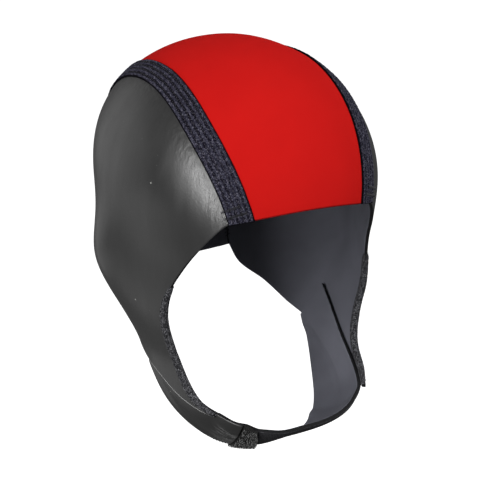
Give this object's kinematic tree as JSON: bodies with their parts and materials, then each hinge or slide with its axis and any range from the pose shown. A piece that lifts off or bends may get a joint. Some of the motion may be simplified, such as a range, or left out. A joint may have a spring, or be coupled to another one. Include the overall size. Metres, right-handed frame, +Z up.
{
  "type": "neoprene swim cap",
  "caption": "Close-fitting neoprene swim cap with a coloured crown panel, dark smooth-skin side panels that run down into ear flaps, taped seams and a chin strap closed by a hook tab",
  "frame": {"origin": "inside of the crown's top, where the top of the wearer's head touches it", "axes": "+Z up, the face opening looks toward -Y, the wearer's right is -X"},
  "size_m": [0.173, 0.1889, 0.2396],
  "materials": {
    "jersey": "matte red knitted jersey over neoprene",
    "smooth_skin": "satin smooth-skin neoprene, dark grey",
    "knit_tape": "matte heathered navy knit tape",
    "edge_knit": "matte dark knit edge",
    "hook_tape": "rough black hook-and-loop tape"
  },
  "bodies": {
    "root": {"crown_panel": "jersey", "side_panel_right": "smooth_skin", "side_panel_left": "smooth_skin", "seam_tape_right": "knit_tape", "seam_tape_left": "knit_tape", "face_binding_right": "edge_knit", "face_binding_left": "edge_knit", "chin_strap_right": "smooth_skin", "chin_strap_left": "smooth_skin", "fastening_tab": "hook_tape"}
  },
  "joints": []
}
